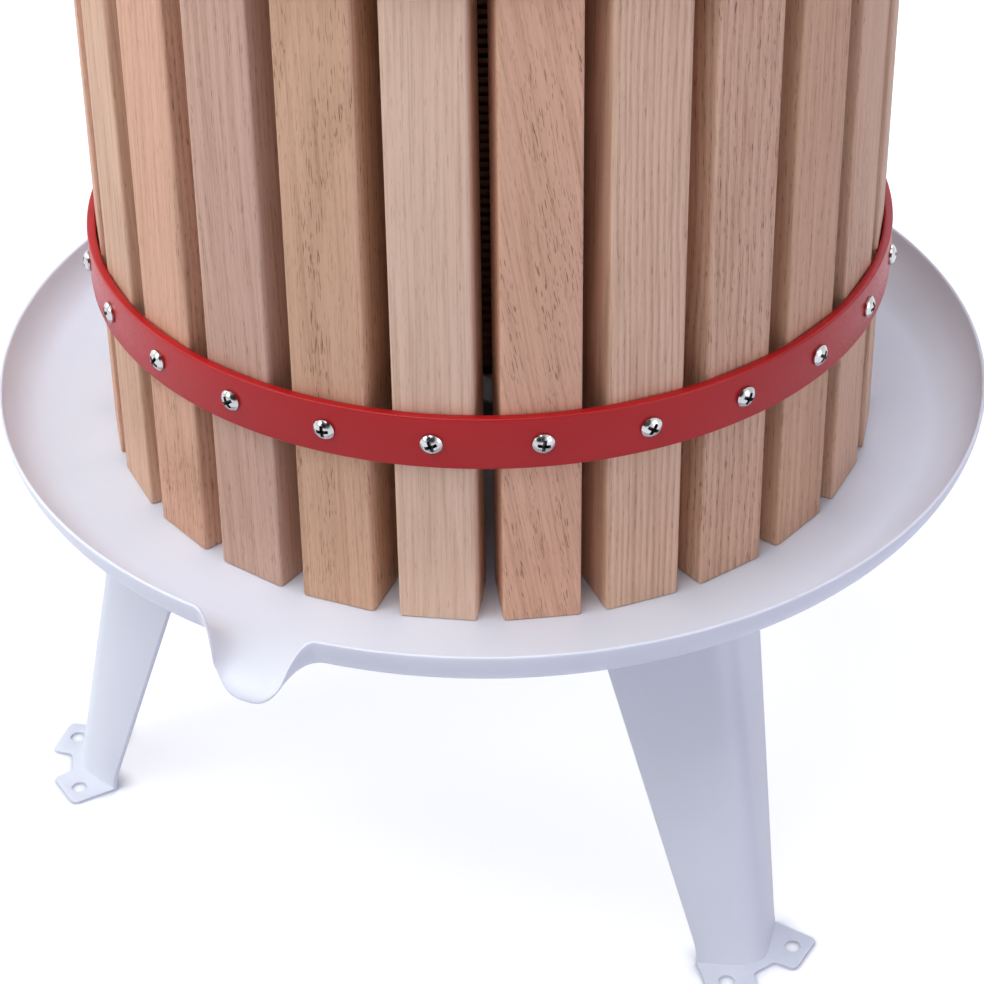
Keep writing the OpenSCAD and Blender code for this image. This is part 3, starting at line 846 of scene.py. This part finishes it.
def pressing_plates(draw):
    """The two half-round boards."""
    edge = 1.2 * mm
    along_y = Matrix.Rotation(quarter_turn, 4, "X")
    for node in ("press_plate_left", "press_plate_right"):
        mesh = new_mesh(node + "_board", *eased_copy(node, edge, 3))
        give_grain(mesh, along_y, draw, any_look(draw))
        piece(node + "_board", mesh, oak, "oak", node)


def pressing_blocks(draw):
    """The crossed blocks above the boards, drawn end up and laid along X or Y."""
    edge = 3.2 * mm
    end_edge = 1.4 * mm
    for node in block_names:
        low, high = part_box(node)
        if high.x - low.x > high.y - low.y:
            section = rectangle(low.y, low.z, high.y, high.z)
            ends = (low.x, high.x)
            lay = Matrix(((0, 0, 1), (1, 0, 0), (0, 1, 0))).to_4x4()
        else:
            section = rectangle(low.x, low.z, high.x, high.z)
            ends = (low.y, high.y)
            lay = Matrix(((1, 0, 0), (0, 0, 1), (0, 1, 0))).to_4x4()
        skin = eased_prism(softened(section, edge), *ends, end_edge)
        mesh = new_mesh(node + "_board", *placed(skin, lay))
        give_grain(mesh, lay.inverted(), draw, any_look(draw))
        piece(node + "_board", mesh, oak, "oak", node)


def thrust_plate():
    """Steel disc between the blocks and the nut."""
    bore_r = 14 * mm
    edge = 0.9 * mm
    plate = new_mesh("thrust_disc", *washer("thrust_plate", bore_r, edge))
    piece("thrust_disc", plate, drawn_steel, "plated_steel", "thrust_plate")


# Press nut and handles

def press_nut():
    """Cast hub with rounded edges."""
    edge = 1.3 * mm
    mesh = new_mesh("press_nut_casting", *eased_copy("press_nut", edge, 3))
    piece("press_nut_casting", mesh, red_coat, "red_enamel", "press_nut")


def handle(side):
    """A bar and its grip on one side of the press nut; gives the placement that lays a piece along it."""
    tip = 1.3 * mm
    around = 48
    name = "bar_" + side
    low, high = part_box(name)
    inner, outer = sorted((abs(low.x), abs(high.x)))
    bar_r = (high.z - low.z) / 2
    sign = 1 if side == "right" else -1
    middle = Matrix.Translation((0, 0, (low.z + high.z) / 2))
    lay = middle @ Matrix.Rotation(sign * quarter_turn, 4, "Y")
    profile = [(0, inner), (bar_r - tip, inner), (bar_r, inner + tip), (bar_r, outer - tip),
               (bar_r - tip, outer), (0, outer)]
    mesh = new_mesh(name + "_rod", *placed(revolved(profile, around), lay))
    piece(name + "_rod", mesh, drawn_steel, "plated_steel", name)
    grip(side, lay, bar_r)
    return lay


def grip(side, lay, bar_r):
    """Moulded hand grip: a collar, a ribbed belly and a domed end."""
    around = 64
    ribs = 9
    steps = 12 * ribs
    dome_steps = 9
    groove_depth = 0.55 * mm
    hollow = 0.4 * mm
    name = "grip_" + side
    low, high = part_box(name)
    inner, outer = sorted((abs(low.x), abs(high.x)))
    grip_r = (high.z - low.z) / 2
    bead = grip_r / 10
    dome = grip_r * 0.9
    belly_from = inner + 6 * bead
    belly = outer - dome - belly_from
    profile = [(bar_r, inner + hollow), (grip_r - bead, inner), (grip_r, inner + bead),
               (grip_r, inner + 4 * bead), (grip_r - bead, belly_from - 0.5 * bead)]
    for k in range(steps + 1):
        s = k / steps
        groove = groove_depth * max(math.cos(full_turn * ribs * s), 0) ** 3
        profile.append((grip_r - bead + (bead - groove) * math.sin(math.pi * s), belly_from + belly * s))
    for k in range(1, dome_steps):
        a = quarter_turn * k / dome_steps
        profile.append(((grip_r - bead) * math.cos(a), outer - dome + dome * math.sin(a)))
    profile.append((0.0, outer))
    mesh = new_mesh(name + "_skin", *placed(revolved(profile, around), lay))
    piece(name + "_skin", mesh, black_plastic, "black_plastic", name)


def handles():
    """Both bars with their grips, and the nuts that lock them in the hub."""
    socket_reach = 46 * mm
    corners_d = 28 * mm
    bore_r = 8.05 * mm
    lays = [handle(side) for side in ("left", "right")]
    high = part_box("bar_jam_nuts")[1]
    nut = hex_nut(corners_d, high.x - socket_reach, bore_r)
    nut = placed(nut, Matrix.Translation((0, 0, socket_reach)))
    mesh = new_mesh("jam_nut_pair", *scattered(nut, lays), sharp=20.0)
    piece("jam_nut_pair", mesh, nickel, "plated_steel", "bar_jam_nuts")


# Stage, light and camera

white = (1.0, 1.0, 1.0, 1.0)


def floor_paint():
    """Matt paint that glows to white for the eye, less near the press, and least in narrow gaps, where the
    dimmed glow is painted shade.
    """
    colour = (0.50, 0.51, 0.58, 1.0)
    near = 0.8
    far = 2.5
    near_glow = 0.74
    gap = 12 * mm
    gap_shut = 0.7
    gap_clear = 0.97
    gap_glow = 0.2
    made = bpy.data.materials.new("floor_paint")
    made.use_nodes = True
    nodes = made.node_tree.nodes
    nodes.remove(nodes["Principled BSDF"])
    paint = Tree(made.node_tree)
    position = paint.node("ShaderNodeNewGeometry", {}).outputs["Position"]
    away = paint.vector("LENGTH", position, output="Value")
    level = paint.spread(away, near, far, near_glow, 1.0, "LINEAR")
    # Painted shade: ambient occlusion dims the glow in the feet's holes and along their edges.
    open_sky = paint.node("ShaderNodeAmbientOcclusion", {"Distance": gap}, samples=6).outputs["AO"]
    gap_shade = paint.spread(open_sky, gap_shut, gap_clear, gap_glow, 1.0, "LINEAR")
    strength = paint.number("MULTIPLY", paint.number("MULTIPLY", paint.shown_to_eye(), level), gap_shade)
    glow = paint.node("ShaderNodeEmission", {"Color": white, "Strength": strength}).outputs[0]
    matt = paint.node("ShaderNodeBsdfDiffuse", {"Color": colour}).outputs[0]
    both = paint.node("ShaderNodeAddShader", {0: matt, 1: glow}).outputs[0]
    paint.put(nodes["Material Output"].inputs["Surface"], both)
    return made


def floor():
    """Wide floor that looks white and keeps a soft shadow."""
    size = 30.0
    corners = [(x, y, 0) for x, y in rectangle(-size, -size, size, size)]
    made = bpy.data.objects.new("floor", new_mesh("floor", corners, [(0, 1, 2, 3)]))
    bpy.context.scene.collection.objects.link(made)
    made.data.materials.append(floor_paint())


def seen_sky(sky):
    """White, but for a dark patch in front of the press and above it, which only reflections show."""
    dark = (0.03, 0.03, 0.035, 1.0)
    azimuth = math.radians(8)
    height = math.radians(34)
    dark_within = math.radians(32)
    white_beyond = math.radians(40)
    aim = (math.sin(azimuth) * math.cos(height), -math.cos(azimuth) * math.cos(height), math.sin(height))
    near = sky.vector("DOT_PRODUCT", sky.place("Generated"), aim, "Value")
    patch = sky.spread(near, math.cos(white_beyond), math.cos(dark_within), curve="LINEAR")
    mirrored = sky.node("ShaderNodeLightPath", {}).outputs["Is Glossy Ray"]
    return sky.mix(sky.number("MULTIPLY", patch, mirrored), white, dark)


def surroundings():
    """Soft even light from all round, seen as white."""
    ambient = (0.145, 0.145, 0.14, 1.0)
    world = bpy.data.worlds.new("studio")
    bpy.context.scene.world = world
    world.use_nodes = True
    sky = Tree(world.node_tree)
    background = world.node_tree.nodes["Background"].inputs
    sky.put(background["Color"], sky.mix(sky.shown_to_eye(), ambient, seen_sky(sky)))
    background["Strength"].default_value = 1.0


def soft_box(name, place, power, colour, size=1.5, mirrored=True):
    """Square lamp aimed at the press; where it isn't mirrored, reflections don't show it."""
    aim = Vector((0, 0, 0.3))
    lamp = bpy.data.lights.new(name, "AREA")
    lamp.shape = "SQUARE"
    lamp.size = size
    lamp.energy = power
    lamp.color = colour
    made = bpy.data.objects.new(name, lamp)
    bpy.context.scene.collection.objects.link(made)
    made.location = place
    made.rotation_euler = (aim - Vector(place)).to_track_quat("-Z", "Y").to_euler()
    made.visible_camera = False
    made.visible_glossy = mirrored


def lights():
    """Lamps above and round the press, set to give the photograph's shading."""
    soft_box("overhead", (-0.25, -0.6, 2.4), 50, (0.87, 0.925, 1.0), size=2.0)
    soft_box("front_left", (-1.9, -2.2, 1.5), 20, (1.0, 0.97, 0.95))
    soft_box("front", (-0.2, -2.7, 1.2), 7, (1.0, 0.96, 1.0), mirrored=False)
    soft_box("left", (-2.5, 0.0, 1.2), 19, (0.96, 1.0, 1.0))
    soft_box("right", (2.6, -0.6, 0.9), 20, (0.84, 0.81, 1.0))
    soft_box("behind", (0.2, 1.6, 2.0), 15, (0.76, 0.77, 1.0))


def camera():
    """The photograph's viewpoint: place, aim and focal length fitted to the slats, hoop, rim and feet."""
    photo_px = 984
    focal_px = 2997
    centre_px = 493.6
    azimuth = math.radians(24.4)
    pitch = math.radians(35.4)
    roll = math.radians(-0.8)
    out = 1011.6 * mm
    up = 844.9 * mm
    lens = bpy.data.cameras.new("camera")
    lens.sensor_width = 36
    lens.lens = focal_px / photo_px * lens.sensor_width
    lens.shift_x = (photo_px / 2 - centre_px) / photo_px
    lens.clip_start = 0.05
    lens.clip_end = 200
    made = bpy.data.objects.new("camera", lens)
    bpy.context.scene.collection.objects.link(made)
    turn = Matrix.Rotation(azimuth, 4, "Z") @ Matrix.Rotation(quarter_turn - pitch, 4, "X")
    stand = Matrix.Translation((out * math.sin(azimuth), -out * math.cos(azimuth), up))
    made.matrix_world = stand @ turn @ Matrix.Rotation(roll, 4, "Z")
    bpy.context.scene.camera = made


slats()
screw_draw = random.Random(12)
for level in ("lower", "upper"):
    hoop(level + "_hoop")
    hoop_screws(level + "_hoop_screws", level + "_hoop", screw_draw)
pan()
legs()
leg_bolts()
leg_nuts()
spindle()
spindle_nuts()
spindle_washers()
board_draw = random.Random(7)
pressing_plates(board_draw)
pressing_blocks(board_draw)
thrust_plate()
press_nut()
handles()
floor()
surroundings()
lights()
camera()
bpy.context.scene.view_settings.view_transform = "Standard"
